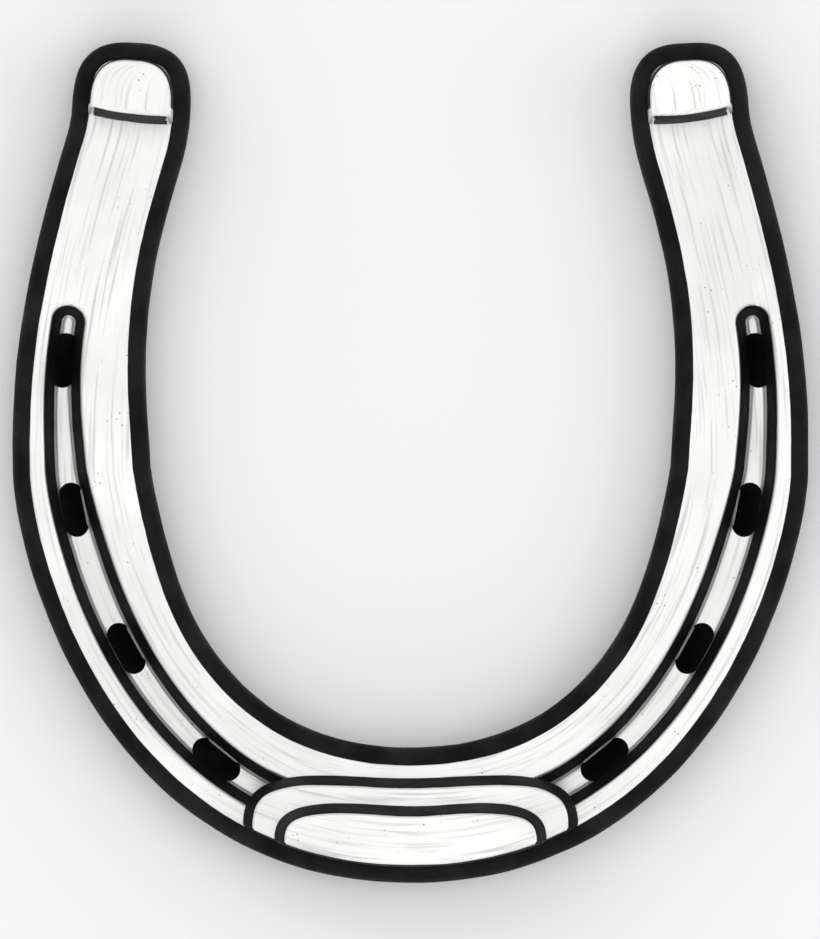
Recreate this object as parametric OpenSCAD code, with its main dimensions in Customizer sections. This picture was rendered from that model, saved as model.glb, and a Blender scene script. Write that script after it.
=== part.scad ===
// Horseshoe, toed and heeled: a fullered steel bar bent to the shape of a hoof, with a
// two-step toe piece and a calk on each heel. It lies on its hoof face, ground side up,
// with the toe towards -Y, the heels towards +Y and left meaning -X.
// The origin is under the middle of the shoe's outline, on the hoof face.
//
// Lengths are in millimetres. "Along" is a distance measured round the outer edge from the
// middle of the toe, positive to the right. "In" is a distance from the outer edge
// towards the inside of the shoe.

/* [Shoe] */
// Width across the widest part of the branches
shoe_width = 130; // [110:0.5:160]
// Length from the toe to the tips of the heels
shoe_length = 137.3; // [115:0.1:168]
// Thickness of the bar
bar_thickness = 10; // [8:0.5:13]
// Rounding of the ground-side edges
ground_edge_r = 2.6; // [1.5:0.1:3]
// Rounding of the hoof-side edges
hoof_edge_r = 1.2; // [0.6:0.1:1.8]

/* [Width of the bar] */
// At the middle of the toe
toe_web = 22.3; // [19:0.1:26]
// At the quarters, where the toe turns into the branches
quarter_web = 21.5; // [19:0.1:26]
// In the middle of the branches
branch_web = 22.9; // [19:0.1:26]
// At the heels
heel_web = 19.5; // [17:0.1:23]

/* [Crease] */
// Depth of the crease
crease_depth = 5.5; // [4:0.1:6.5]
// Distance in to the middle of the crease, at the toe
crease_in_toe = 9.5; // [9:0.1:11]
// The same, at the heel end of the crease
crease_in_heel = 7.6; // [7:0.1:9]
// Widest part of the crease, at the ground face
crease_width = 7.3; // [6.5:0.1:8]
// Width of the crease at its toe end
crease_width_toe = 6.6; // [6:0.1:8]
// Width of the crease at its heel end
crease_width_heel = 5.4; // [5:0.1:7]
// How far each wall leans in over the depth
crease_lean = 1.7; // [1.2:0.1:1.9]
// How far the crease runs on under the toe plate
crease_under_plate = 7; // [4:0.5:10]
// How far it runs on past the middle of the last hole
crease_past_nails = 9.5; // [8:0.5:14]
// Length over which it narrows towards the heel
crease_taper = 48; // [30:1:60]

/* [Nail holes] */
// Holes in each branch
nails_a_side = 4; // [2:1:4]
// Distance along from the middle of the toe to the first hole
nail_first = 40.6; // [38:0.1:44]
// Distance along from hole to hole
nail_pitch = 27.15; // [20:0.05:30]
// Length of a hole at the floor of the crease
nail_hole_length = 9; // [7:0.1:10]
// Width of a hole at the floor of the crease
nail_hole_width = 3.9; // [3.6:0.1:4.2]
// How much narrower the hole gets on its way to the hoof face
nail_hole_taper = 2; // [0.6:0.1:2]
// How far it leans in on that way, to follow the slope of the hoof's wall
nail_hole_lean = 2.6; // [0:0.1:2.6]

/* [Toe piece] */
// Thickness of the plate under the grab
toe_plate_height = 4; // [3:0.5:6]
// Half of the plate's width
toe_plate_reach = 27.6; // [24:0.1:29]
// Distance from the toe to the plate's back edge
toe_plate_back = 18; // [17:0.1:20]
// Height of the grab above the plate
toe_grab_height = 5; // [3:0.5:8]
// Step from the plate's side edge in to the grab
toe_step_side = 5.2; // [3.5:0.1:7]
// Step from the plate's back edge in to the grab
toe_step_back = 4.5; // [3:0.1:5]
// How far the back walls lean in
toe_lean = 1.7; // [0.8:0.1:2.2]
// Dip in the middle of both back edges
toe_dip = 0.5; // [0:0.1:1]

/* [Heel calks] */
// Length of a calk's foot along the branch
calk_length = 10.2; // [8.5:0.1:12]
// How far the front wall of a calk leans back
calk_lean = 1.2; // [0.5:0.1:2]

/* [Shanks] */
// Diameter of the shanks that hold the grab and the calks
shank_d = 7; // [5:0.5:7]
// Gap round a shank in its hole
shank_gap = 0.05; // [0.02:0.01:0.15]
// Distance of the grab's shanks from the middle of the shoe
toe_shank_x = 12.5; // [10:0.5:14]

/* [Hidden] */

// Every cut runs on past the face it comes out of
overshoot = 1;

// ---- Curves ----

function polar(heading) = [cos(heading), sin(heading)];
function bezier(a, b, c, d, t) =
    pow(1 - t, 3) * a + 3 * t * pow(1 - t, 2) * b + 3 * t * t * (1 - t) * c + pow(t, 3) * d;
function ease(a, b, t) = a + (b - a) * (1 - cos(180 * max(0, min(1, t)))) / 2;
function signed_power(v, e) = sign(v) * pow(abs(v), e);
function reverse(list) = [for (i = [len(list) - 1:-1:0]) list[i]];
function flatten(lists) = [for (list = lists) for (item = list) item];
function left_of(half) = [for (i = [len(half) - 1:-1:1]) [-half[i].x, half[i].y]];
function whole(half) = concat(left_of(half), half);

// ---- The outer edge, right half: toe, widest point, end of the branch, heel ----

half_width = shoe_width / 2;
heel_round = 11.3;
heel_squareness = 2.8;
branch_heading = 106.7;
heel_heading = 93.6;
heel_tilt = heel_heading - 90;
widest = [half_width, 0.494 * shoe_length];
branch_end = [0.869 * half_width, 0.881 * shoe_length];

// The heel's rounded tip is a squarish half ellipse on the last cross line of the bar.
// The turn goes from 0 at the outer edge to 180 at the inner edge.
heel_u = polar(heel_tilt);
heel_v = polar(heel_heading);
function heel_curve(turn, wide, long) =
    wide * signed_power(cos(turn), 2 / heel_squareness) * heel_u
    + long * signed_power(sin(turn), 2 / heel_squareness) * heel_v;
heel_turns = [0:12:84];
heel_reach = max([for (turn = [0:12:180]) heel_curve(turn, heel_web / 2, heel_round).y]);
heel_middle = [0.8505 * half_width - heel_web / 2 * cos(heel_tilt), shoe_length - heel_reach];
heel_start = heel_middle + heel_web / 2 * heel_u;
function heel_tip(turn, in = 0) =
    heel_middle + heel_curve(turn, heel_web / 2 - in, heel_round - in);

edge_points = concat(
    [for (t = [0:1 / 40:0.99]) bezier([0, 0], [0.789 * half_width, 0],
        widest - [0, 0.0998 * shoe_length], widest, t)],
    [for (t = [0:1 / 24:0.99]) bezier(widest, widest + [0, 0.075 * shoe_length],
        branch_end - 0.228 * shoe_length * polar(branch_heading), branch_end, t)],
    [for (t = [0:1 / 4:1]) bezier(branch_end, branch_end + 2 * polar(branch_heading),
        heel_start - 2 * polar(heel_heading), heel_start, t)]);
edge_count = len(edge_points);
edge_lengths = [for (i = 0, s = 0; i < edge_count;
    i = i + 1, s = s + (i < edge_count ? norm(edge_points[i] - edge_points[i - 1]) : 0)) s];
edge_x = [for (i = [0:edge_count - 1]) [edge_lengths[i], edge_points[i].x]];
edge_y = [for (i = [0:edge_count - 1]) [edge_lengths[i], edge_points[i].y]];
heel_along = edge_lengths[edge_count - 1];

function edge(along) = [sign(along) * lookup(abs(along), edge_x), lookup(abs(along), edge_y)];
function inward(along) =
    let (d = edge(along + 0.8) - edge(along - 0.8), u = d / norm(d)) [-u.y, u.x];
function place(along, in) = edge(along) + in * inward(along);

// Width of the bar, easing from toe to quarter, branch and heel
function web(along) =
    let (t = abs(along) / heel_along)
    t < 0.35 ? ease(toe_web, quarter_web, t / 0.35)
    : t < 0.58 ? ease(quarter_web, branch_web, (t - 0.35) / 0.23)
    : ease(branch_web, heel_web, (t - 0.58) / 0.34);

// ---- Solids built from two rails ----
// An outline is a pair of rails with the same number of points: [outer, inner]. Both run
// the same way, so the loop goes out along the first and back along the second.

function loop_of(rails) = concat(rails[0], reverse(rails[1]));

// Moves every point of a loop in by d, square to the loop
function inset(loop, d) = let (n = len(loop))
    [for (i = [0:n - 1])
        let (along = loop[(i + 1) % n] - loop[(i + n - 1) % n], u = along / norm(along))
        loop[i] + d * [-u.y, u.x]];

function at_height(loop, z) = [for (p = loop) [p.x, p.y, z]];

// Skin over a stack of loops, closed by strips from rail to rail at both ends
module skin(loops) {
    n = len(loops[0]);
    top = n * (len(loops) - 1);
    sides = [for (k = [0:len(loops) - 2]) for (i = [0:n - 1])
        let (j = (i + 1) % n, low = k * n, high = low + n)
        each [[low + i, high + i, high + j], [low + i, high + j, low + j]]];
    floor = [for (i = [0:n / 2 - 2]) [i, i + 1, n - 2 - i, n - 1 - i]];
    roof = [for (f = floor) [for (i = reverse(f)) top + i]];
    polyhedron(points = flatten(loops), faces = concat(floor, sides, roof));
}

// ---- The body ----

station_step = heel_along / 44;
body_outer = concat([for (i = [0:43]) edge(i * station_step)],
    [for (turn = heel_turns) heel_tip(turn)]);
body_inner = concat([for (i = [0:43]) place(i * station_step, web(i * station_step))],
    [for (turn = heel_turns) heel_tip(180 - turn)]);
body_loop = loop_of([whole(body_outer), whole(body_inner)]);
outline_middle = (max([for (p = body_loop) p.y]) + min([for (p = body_loop) p.y])) / 2;

// Heights and insets that round a bottom edge by a radius and a top edge by another
function rounded_wall(height, bottom_r, top_r) = concat(
    [for (a = [0:45:90]) [bottom_r * (1 - cos(a)), bottom_r * (1 - sin(a))]],
    [for (a = [0:30:90]) [height - top_r + top_r * sin(a), top_r * (1 - cos(a))]]);

module bar() {
    skin([for (w = rounded_wall(bar_thickness, hoof_edge_r, ground_edge_r))
        at_height(inset(body_loop, w[1]), w[0])]);
}

// ---- The creases and the nail holes ----

// The toe piece and the calks stand just inside the rounded ground-side edge
pad_in = ground_edge_r + 0.1;
pad_batter = 0.3;

crease_floor = bar_thickness - crease_depth;
crease_from = pad_along(toe_plate_reach, pad_in) - crease_under_plate;
crease_to = nail_first + (nails_a_side - 1) * nail_pitch + crease_past_nails;
crease_widest = crease_to - crease_taper;
function crease_in(along) =
    ease(crease_in_toe, crease_in_heel, (along - crease_widest) / crease_taper);
function crease_half(along) =
    (along < crease_widest
        ? ease(crease_width_toe, crease_width, (along - crease_from) / (crease_widest - crease_from))
        : ease(crease_width, crease_width_heel, (along - crease_widest) / crease_taper)) / 2;

// One crease outline with its walls leaned in; both ends are half round
function crease_rails(lean) =
    let (r0 = crease_half(crease_from) - lean, r1 = crease_half(crease_to) - lean,
        s0 = crease_from + crease_half(crease_from), s1 = crease_to - crease_half(crease_to),
        stops = concat(
            [for (a = [80:-20:20]) [s0 - r0 * sin(a), r0 * cos(a)]],
            [for (i = [0:26]) let (s = s0 + (s1 - s0) * i / 26) [s, crease_half(s) - lean]],
            [for (a = [20:20:80]) [s1 + r1 * sin(a), r1 * cos(a)]]))
    [[for (p = stops) place(p[0], crease_in(p[0]) - p[1])],
        [for (p = stops) place(p[0], crease_in(p[0]) + p[1])]];

module crease() {
    skin([at_height(loop_of(crease_rails(crease_lean)), crease_floor),
        at_height(loop_of(crease_rails(-overshoot * crease_lean / crease_depth)),
            bar_thickness + overshoot)]);
}

// A slot outline with round ends, centred on the crease or a little further in
function slot_rails(along, length, width, further_in) =
    let (across = inward(along), forward = [across.y, -across.x],
        middle = place(along, crease_in(along) + further_in),
        r = width / 2, straight = length / 2 - r,
        stops = concat([for (a = [75:-25:0]) [-straight - r * sin(a), r * cos(a)]],
            [for (a = [0:25:75]) [straight + r * sin(a), r * cos(a)]]))
    [[for (p = stops) middle + p[0] * forward - p[1] * across],
        [for (p = stops) middle + p[0] * forward + p[1] * across]];

// Straight above the floor of the crease, tapering and leaning in below it
module nail_hole(along) {
    skin([for (z = [-overshoot, crease_floor, crease_floor + overshoot])
        let (down = max(0, crease_floor - z) / crease_floor, thinner = down * nail_hole_taper)
        at_height(loop_of(slot_rails(along, nail_hole_length - thinner,
            nail_hole_width - thinner, down * nail_hole_lean)), z)]);
}

// ---- The toe piece ----

// How far along the front of a pad is still inside a distance from the middle of the shoe
function pad_along(reach, in) =
    max([for (s = [0:0.25:reach * 1.3]) if (place(s, in).x < reach - 0.3) s]);

// Outline of a toe pad: the front follows the shoe's edge, the back is nearly straight
// with a slight dip and turns through round corners to the sides
function pad_rails(reach, back, corner, front_in, lean) =
    let (side = reach - lean,
        last = pad_along(side, front_in),
        low = place(last, front_in).y + 0.6,
        deep = back - lean,
        start = reach - corner,
        front = [for (i = [0:16]) place(last * i / 16, front_in)],
        rear = concat(
            [for (i = [0:5]) let (x = start * i / 6) [x, deep - ease(toe_dip, 0, i / 6)]],
            [for (i = [0:10]) bezier([start, deep], [start + 0.7 * corner, deep],
                [side, low + 0.7 * (deep - low)], [side, low], i / 10)]))
    [whole(front), whole(rear)];

toe_plate_corner = 13;
toe_grab_corner = 11;
grab_from = bar_thickness + toe_plate_height;
module pad(reach, back, corner, from, height) {
    skin([at_height(loop_of(pad_rails(reach, back, corner, pad_in, 0)), from),
        at_height(loop_of(pad_rails(reach, back, corner, pad_in + pad_batter, toe_lean)),
            from + height)]);
}

// ---- The heel calks ----

// Outline of a right-hand calk: it follows the heel's edge, a step in from it, and its
// front wall crosses the branch a little askew and bows towards the toe
calk_skew = 0.4;
calk_bow = 0.4;
calk_bow_share = 0.4;
calk_back = heel_round - pad_in;
function calk_front(share, in, lean) =
    let (bow = abs(share) < 1 ? calk_bow : 0)
    heel_middle + share * (heel_web / 2 - in) * heel_u
    + (calk_back - calk_length + lean + share * calk_skew - bow) * heel_v;
function calk_rails(in, lean) =
    [concat([for (share = [calk_bow_share, 1]) calk_front(share, in, lean)],
            [for (turn = heel_turns) if (turn > 0) heel_tip(turn, in)]),
        concat([for (share = [calk_bow_share, 1]) calk_front(-share, in, lean)],
            [for (turn = heel_turns) if (turn > 0) heel_tip(180 - turn, in)])];

calk_top = toe_plate_height + toe_grab_height;
calk_shank = heel_middle + (calk_back - calk_length / 2) * heel_v;

module calk() {
    skin([at_height(loop_of(calk_rails(pad_in, 0)), bar_thickness),
        at_height(loop_of(calk_rails(pad_in + pad_batter, calk_lean)),
            bar_thickness + calk_top)]);
    shank(calk_shank, bar_thickness);
}

// ---- Shanks and their holes ----

toe_grab_reach = toe_plate_reach - toe_step_side;
toe_grab_back = toe_plate_back - toe_step_back;
toe_shank_y = (place(toe_shank_x, pad_in).y + toe_grab_back) / 2;
shank_in_head = 0.5;
module shank(at, length) {
    translate([at.x, at.y, 0]) cylinder(d = shank_d, h = length + shank_in_head, $fn = 64);
}
module shank_hole(at) {
    translate([at.x, at.y, -overshoot])
        cylinder(d = shank_d + 2 * shank_gap, h = grab_from + 2 * overshoot, $fn = 64);
}
module toe_shank_holes() {
    for (side = [-1, 1]) shank_hole([side * toe_shank_x, toe_shank_y]);
}

// ---- Nodes ----

module centred() {
    translate([0, -outline_middle, 0]) children();
}

module shoe_body() color("#c9cbcd") centred() difference() {
    bar();
    for (side = [0, 1]) mirror([side, 0, 0]) {
        crease();
        for (i = [0:nails_a_side - 1]) nail_hole(nail_first + i * nail_pitch);
        shank_hole(calk_shank);
    }
    toe_shank_holes();
}

module toe_plate() color("#d6d8da") centred() difference() {
    pad(toe_plate_reach, toe_plate_back, toe_plate_corner, bar_thickness, toe_plate_height);
    toe_shank_holes();
}

module toe_grab() color("#e2e3e4") centred() {
    pad(toe_grab_reach, toe_grab_back, toe_grab_corner, grab_from, toe_grab_height);
    for (side = [-1, 1])
        shank([side * toe_shank_x, toe_shank_y], grab_from);
}

module heel_calk_right() color("#e2e3e4") centred() calk();

module heel_calk_left() color("#e2e3e4") centred() mirror([1, 0, 0]) calk();

shoe_body();
toe_plate();
toe_grab();
heel_calk_left();
heel_calk_right();
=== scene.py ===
# %% [markdown]
# # A horseshoe, turned from a straight bar
#
# The shoe is a fullered steel bar with a two-step toe piece and a calk on each heel. Its
# sizes are settled already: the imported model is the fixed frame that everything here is
# measured against. What this file adds is what the hand and the eye notice: the turn of the
# bar, soft edges, punched holes, the marks of forging, and bright steel against black scale.

import math

import bpy
import numpy as np
from mathutils import Matrix, Vector
from mathutils.kdtree import KDTree


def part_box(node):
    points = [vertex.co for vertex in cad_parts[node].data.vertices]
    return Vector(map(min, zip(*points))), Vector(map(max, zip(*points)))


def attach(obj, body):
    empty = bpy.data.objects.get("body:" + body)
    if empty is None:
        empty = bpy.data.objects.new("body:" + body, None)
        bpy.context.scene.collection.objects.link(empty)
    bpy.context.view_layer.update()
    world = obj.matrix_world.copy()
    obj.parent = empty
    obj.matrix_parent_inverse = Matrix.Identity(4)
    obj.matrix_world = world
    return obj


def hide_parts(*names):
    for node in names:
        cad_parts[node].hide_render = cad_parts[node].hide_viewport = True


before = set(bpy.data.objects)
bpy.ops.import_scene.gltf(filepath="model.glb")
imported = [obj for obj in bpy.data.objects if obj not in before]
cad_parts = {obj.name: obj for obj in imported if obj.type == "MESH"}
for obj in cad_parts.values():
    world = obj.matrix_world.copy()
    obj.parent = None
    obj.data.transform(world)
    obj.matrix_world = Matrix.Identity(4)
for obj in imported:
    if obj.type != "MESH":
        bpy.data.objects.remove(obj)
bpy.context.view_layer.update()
MM = 0.001
shoe_low, shoe_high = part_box("shoe_body")
plate_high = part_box("toe_plate")[1]
grab_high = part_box("toe_grab")[1]
calk_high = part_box("heel_calk_right")[1]
print("shoe is", [round(v / MM, 1) for v in shoe_high - shoe_low], "mm")

# %% [markdown]
# ## Camera, floor and light
#
# A shoe on the bench is looked at from straight above, with the toe nearest. A very long
# lens from far away keeps the tall calks from leaning outwards, and it still lets other
# views move the camera. Ground steel shows whatever it mirrors, so the whole room is pale,
# with a broad soft box overhead and three weaker ones round the bench that give the walls
# their shape. The plain Standard view keeps white card white and forge scale black.

# %% Camera
VIEW_HEIGHT = 153 * MM
CAMERA_HEIGHT = 4.0
SENSOR = 36.0
AIM_X, AIM_Y = -0.07 * MM, -1.12 * MM


def new_object(name, data):
    """Puts a mesh, a lamp or a camera into the scene."""
    thing = bpy.data.objects.new(name, data)
    bpy.context.scene.collection.objects.link(thing)
    return thing


def look_down():
    """A camera above the shoe, with the lens that just takes in the view height."""
    data = bpy.data.cameras.new("bench_camera")
    data.sensor_width = SENSOR
    data.lens = SENSOR * CAMERA_HEIGHT / VIEW_HEIGHT
    data.clip_end = 50
    camera = new_object("bench_camera", data)
    camera.location = (AIM_X, AIM_Y, CAMERA_HEIGHT + shoe_high.z)
    bpy.context.scene.camera = camera
    print("lens", round(data.lens), "mm")


look_down()


# %% Colours and nodes: two helpers that every material below uses
def colour(hex_code):
    """An sRGB hex code as the linear colour that a shader wants."""
    parts = [int(hex_code[i:i + 2], 16) / 255 for i in (1, 3, 5)]
    linear = [p / 12.92 if p <= 0.04045 else ((p + 0.055) / 1.055) ** 2.4 for p in parts]
    return (*linear, 1.0)


def add(tree, kind, given=None):
    """Adds a node. A key is one of its properties or one of its sockets. A socket takes a
    number, a colour's hex code, or another node's output to be linked from."""
    node = tree.nodes.new(kind)
    for key, value in (given or {}).items():
        if isinstance(key, str) and hasattr(node, key):
            setattr(node, key, value)
        elif isinstance(value, bpy.types.NodeSocket):
            tree.links.new(value, node.inputs[key])
        else:
            hex_code = isinstance(value, str) and value.startswith("#")
            node.inputs[key].default_value = colour(value) if hex_code else value
    return node


print("a mid grey is", round(colour("#808080")[0], 3), "in linear light")


# %% Floor
BENCH_REACH = 2.0
UNDER_SHOE = 0.05 * MM


def make_floor():
    """White card, a hair below the shoe, so that the two never flicker through each other."""
    mesh = bpy.data.meshes.new("bench")
    z = shoe_low.z - UNDER_SHOE
    corners = [(x * BENCH_REACH, y * BENCH_REACH, z) for x, y in ((-1, -1), (1, -1), (1, 1), (-1, 1))]
    mesh.from_pydata(corners, [], [(0, 1, 2, 3)])
    material = bpy.data.materials.new("white_card")
    material.use_nodes = True
    shader = material.node_tree.nodes["Principled BSDF"]
    shader.inputs["Base Color"].default_value = colour("#f4f4f4")
    shader.inputs["Roughness"].default_value = 0.9
    mesh.materials.append(material)
    new_object("bench", mesh)


make_floor()
print("floor of white card,", 2 * BENCH_REACH, "m square")


# %% Lights
def soft_box(name, location, size, watts):
    """A round soft box, aimed at the shoe."""
    data = bpy.data.lights.new(name, "AREA")
    data.shape = "DISK"
    data.size = size
    data.energy = watts
    lamp = new_object(name, data)
    lamp.location = location
    lamp.rotation_euler = (-Vector(location)).to_track_quat("-Z", "Y").to_euler()
    lamp.visible_camera = False


soft_box("overhead", (0.0, 0.0, 1.2), size=1.5, watts=2.6)
soft_box("back_left", (-0.9, 0.9, 1.0), size=1.3, watts=2.6)
soft_box("right", (1.2, 0.1, 0.8), size=1.0, watts=2.6)
soft_box("front", (-0.2, -1.2, 0.7), size=0.8, watts=1.6)
ROOM_LIGHT = 0.76
bpy.context.scene.view_settings.view_transform = "Standard"
world = bpy.data.worlds.new("studio")
bpy.context.scene.world = world
world.use_nodes = True
room = world.node_tree.nodes["Background"]
room.inputs["Color"].default_value = colour("#ffffff")
room.inputs["Strength"].default_value = ROOM_LIGHT
print("four soft boxes and a pale room")

# %% [markdown]
# ## The plan of the shoe
#
# A farrier turns the bar by eye; here the same curve is three Bezier stretches per side:
# round the toe to the widest point, down the branch, and the short straight of the heel.
# Distances are in millimetres with the toe at zero, and all else on the shoe is placed by
# how far it lies along this edge and how far in from it.

# %% Curves
HALF_WIDTH = 65.0
LENGTH = (shoe_high.y - shoe_low.y) / MM
HEEL_WEB = 19.5
HEEL_ROUND = 11.3
HEEL_SQUARENESS = 2.8
HEEL_TILT = math.radians(3.6)
HEEL_OUT = 0.8505              # of the half width, where the heel's outer side starts
WIDEST_AT = 0.494              # of the length
BRANCH_END = (0.869, 0.881)    # of the half width and the length, where the heel's straight starts
BRANCH_HEADING = math.radians(106.7)
TOE_PULL, WIDEST_PULL_BACK = 0.789, 0.0998      # Bezier handles of the toe quarter
WIDEST_PULL_ON, BRANCH_PULL = 0.075, 0.228      # and of the branch
HEEL_PULL = 2.0                                 # and of the heel's straight, in mm


def polar(angle):
    """A unit vector that points along an angle."""
    return np.array([math.cos(angle), math.sin(angle)])


def bezier(a, b, c, d, count):
    t = np.linspace(0, 1, count)[:, None]
    a, b, c, d = (np.asarray(p, float) for p in (a, b, c, d))
    return (1 - t) ** 3 * a + 3 * t * (1 - t) ** 2 * b + 3 * t * t * (1 - t) * c + t ** 3 * d


def ease(a, b, t):
    """From a to b as t goes from 0 to 1, starting and ending gently."""
    return a + (b - a) * (1 - np.cos(np.pi * np.clip(t, 0, 1))) / 2


def arc_lengths(points):
    """How far along a line of points each one lies."""
    return np.r_[0, np.cumsum(np.linalg.norm(np.diff(points, axis=0), axis=1))]


def on_line(at, run, points):
    """Where a line of points is at given lengths along it."""
    return np.stack([np.interp(at, run, points[:, 0]), np.interp(at, run, points[:, 1])], -1)


heel_u, heel_v = polar(HEEL_TILT), polar(HEEL_TILT + math.pi / 2)


def heel_curve(turn, inset=0.0):
    """The squarish half ellipse that rounds a heel, from 0 outside to pi inside."""
    wide = (HEEL_WEB / 2 - inset) * np.sign(np.cos(turn)) * abs(np.cos(turn)) ** (2 / HEEL_SQUARENESS)
    long = (HEEL_ROUND - inset) * np.sin(turn) ** (2 / HEEL_SQUARENESS)
    return np.multiply.outer(wide, heel_u) + np.multiply.outer(long, heel_v)


heel_reach = heel_curve(np.radians(np.arange(0, 180, 12)))[:, 1].max()
heel_middle = np.array([HEEL_OUT * HALF_WIDTH - HEEL_WEB / 2 * math.cos(HEEL_TILT),
                        LENGTH - heel_reach])
heel_start = heel_middle + HEEL_WEB / 2 * heel_u
widest = np.array([HALF_WIDTH, WIDEST_AT * LENGTH])
branch_end = np.array([BRANCH_END[0] * HALF_WIDTH, BRANCH_END[1] * LENGTH])
heading = polar(BRANCH_HEADING)
edge_points = np.vstack([
    bezier((0, 0), (TOE_PULL * HALF_WIDTH, 0), widest - (0, WIDEST_PULL_BACK * LENGTH), widest, 400)[:-1],
    bezier(widest, widest + (0, WIDEST_PULL_ON * LENGTH),
           branch_end - BRANCH_PULL * LENGTH * heading, branch_end, 240)[:-1],
    bezier(branch_end, branch_end + HEEL_PULL * heading,
           heel_start - HEEL_PULL * heel_v, heel_start, 40)])
edge_along = arc_lengths(edge_points)
HEEL_ALONG = edge_along[-1]


def edge(along):
    """The outer edge at a distance from the middle of the toe, positive to the right."""
    right = on_line(np.abs(along), edge_along, edge_points)
    return np.stack([np.sign(along) * right[..., 0], right[..., 1]], -1)


def inward(along):
    """The way into the bar, square to its outer edge."""
    reach = 0.8
    d = edge(np.asarray(along) + reach) - edge(np.asarray(along) - reach)
    d /= np.linalg.norm(d, axis=-1, keepdims=True)
    return np.stack([-d[..., 1], d[..., 0]], -1)


def place(along, distance_in):
    """A place on the shoe: so far along its outer edge and so far in from it."""
    return edge(along) + np.asarray(distance_in)[..., None] * inward(along)


print("outer edge is", round(2 * HEEL_ALONG, 1), "mm round")

# %% Widths: the bar, easing from toe to quarter, branch and heel, and the crease in it
BAR_THICKNESS = (shoe_high.z - shoe_low.z) / MM
WEB_TOE, WEB_QUARTER, WEB_BRANCH = 22.3, 21.5, 22.9
QUARTER_AT, BRANCH_AT, HEEL_AT = 0.35, 0.58, 0.92    # of the way from toe to heel
CREASE_DEPTH = 5.5
CREASE_LEAN = 1.7
CREASE_WIDTH_TOE, CREASE_WIDTH, CREASE_WIDTH_HEEL = 6.6, 7.3, 5.4
CREASE_IN_TOE, CREASE_IN_HEEL = 9.5, 7.6
NAILS = 4
NAIL_FIRST = 40.6
NAIL_PITCH = 27.15
PAST_LAST_NAIL = 9.5
CREASE_FROM = 22.5
CREASE_TO = NAIL_FIRST + (NAILS - 1) * NAIL_PITCH + PAST_LAST_NAIL
CREASE_TAPER = 48.0
CREASE_WIDEST = CREASE_TO - CREASE_TAPER


def web(along):
    """The width of the bar."""
    t = np.abs(along) / HEEL_ALONG
    return np.select([t < QUARTER_AT, t < BRANCH_AT],
                     [ease(WEB_TOE, WEB_QUARTER, t / QUARTER_AT),
                      ease(WEB_QUARTER, WEB_BRANCH, (t - QUARTER_AT) / (BRANCH_AT - QUARTER_AT))],
                     ease(WEB_BRANCH, HEEL_WEB, (t - BRANCH_AT) / (HEEL_AT - BRANCH_AT)))


def crease_in(along):
    """How far in from the outer edge the middle of the crease runs."""
    return ease(CREASE_IN_TOE, CREASE_IN_HEEL, (np.abs(along) - CREASE_WIDEST) / CREASE_TAPER)


def crease_half(along):
    """Half the width of the crease at the ground face, away from its round ends."""
    s = np.abs(along)
    toe_part = ease(CREASE_WIDTH_TOE, CREASE_WIDTH, (s - CREASE_FROM) / (CREASE_WIDEST - CREASE_FROM))
    heel_part = ease(CREASE_WIDTH, CREASE_WIDTH_HEEL, (s - CREASE_WIDEST) / CREASE_TAPER)
    return np.where(s < CREASE_WIDEST, toe_part, heel_part) / 2


# the crease is straight sided between these two, with its round ends past them
STRAIGHT_FROM = CREASE_FROM + crease_half(CREASE_FROM)
STRAIGHT_TO = CREASE_TO - crease_half(CREASE_TO)


def soft_max(a, b, radius):
    """The larger of two values, blended where they come within the radius of each other."""
    h = np.maximum(radius - np.abs(a - b), 0) / radius
    return np.maximum(a, b) + h * h * radius / 4


def inside_crease(along, distance_in):
    """How far a place lies inside the crease's rim; negative outside it."""
    s = np.abs(along)
    beside = np.clip(s, STRAIGHT_FROM, STRAIGHT_TO)
    return crease_half(beside) - np.hypot(s - beside, distance_in - crease_in(s))


def crease_drop(inside, lip=0.45):
    """Depth below the ground face: a wall that leans in, softened at the lip and the floor."""
    slope = CREASE_DEPTH / CREASE_LEAN
    run = -soft_max(-soft_max(inside, 0, lip), -CREASE_LEAN, lip)
    return slope * run


print("crease runs from", CREASE_FROM, "to", CREASE_TO, "mm along each branch")

# %% [markdown]
# ## A block of lattice points
#
# Every piece here is a block seen as a lattice: stations along it, columns across it,
# levels up it. Only the skin is kept. That gives clean rows of four-sided faces that
# follow the piece, so edges can be rounded and surfaces dented without any patching.


# %% The skin of a block
def block_skin(stations, columns, levels):
    """Station, column and level of every skin point, and the faces, all facing outwards."""
    shape = (stations, columns, levels)
    grid = np.indices(shape)
    last = np.array(shape)[:, None, None, None] - 1
    on_skin = ((grid == 0) | (grid == last)).any(0)
    number = np.full(shape, -1)
    number[on_skin] = np.arange(on_skin.sum())

    def sheet(rows):
        return np.stack([rows[:-1, :-1], rows[1:, :-1], rows[1:, 1:], rows[:-1, 1:]], -1).reshape(-1, 4)

    faces = [sheet(number[:, :, -1]), sheet(number[:, :, 0].T), sheet(number[:, 0, :]),
             sheet(number[:, -1, :].T), sheet(number[-1]), sheet(number[0].T)]
    return (*(axis[on_skin] for axis in grid), np.vstack(faces))


def make_mesh(name, points, faces):
    mesh = bpy.data.meshes.new(name)
    mesh.from_pydata(np.asarray(points, float).tolist(), [], np.asarray(faces).tolist())
    mesh.validate()
    mesh.shade_smooth()
    return new_object(name, mesh)


def write(mesh, name, kind, values, domain="POINT"):
    """Stores a number or a vector for every point, or face corner, as a named attribute."""
    layer = mesh.attributes.new(name, kind, domain)
    key = "vector" if kind == "FLOAT_VECTOR" else "value"
    layer.data.foreach_set(key, np.ascontiguousarray(values).ravel())


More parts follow.
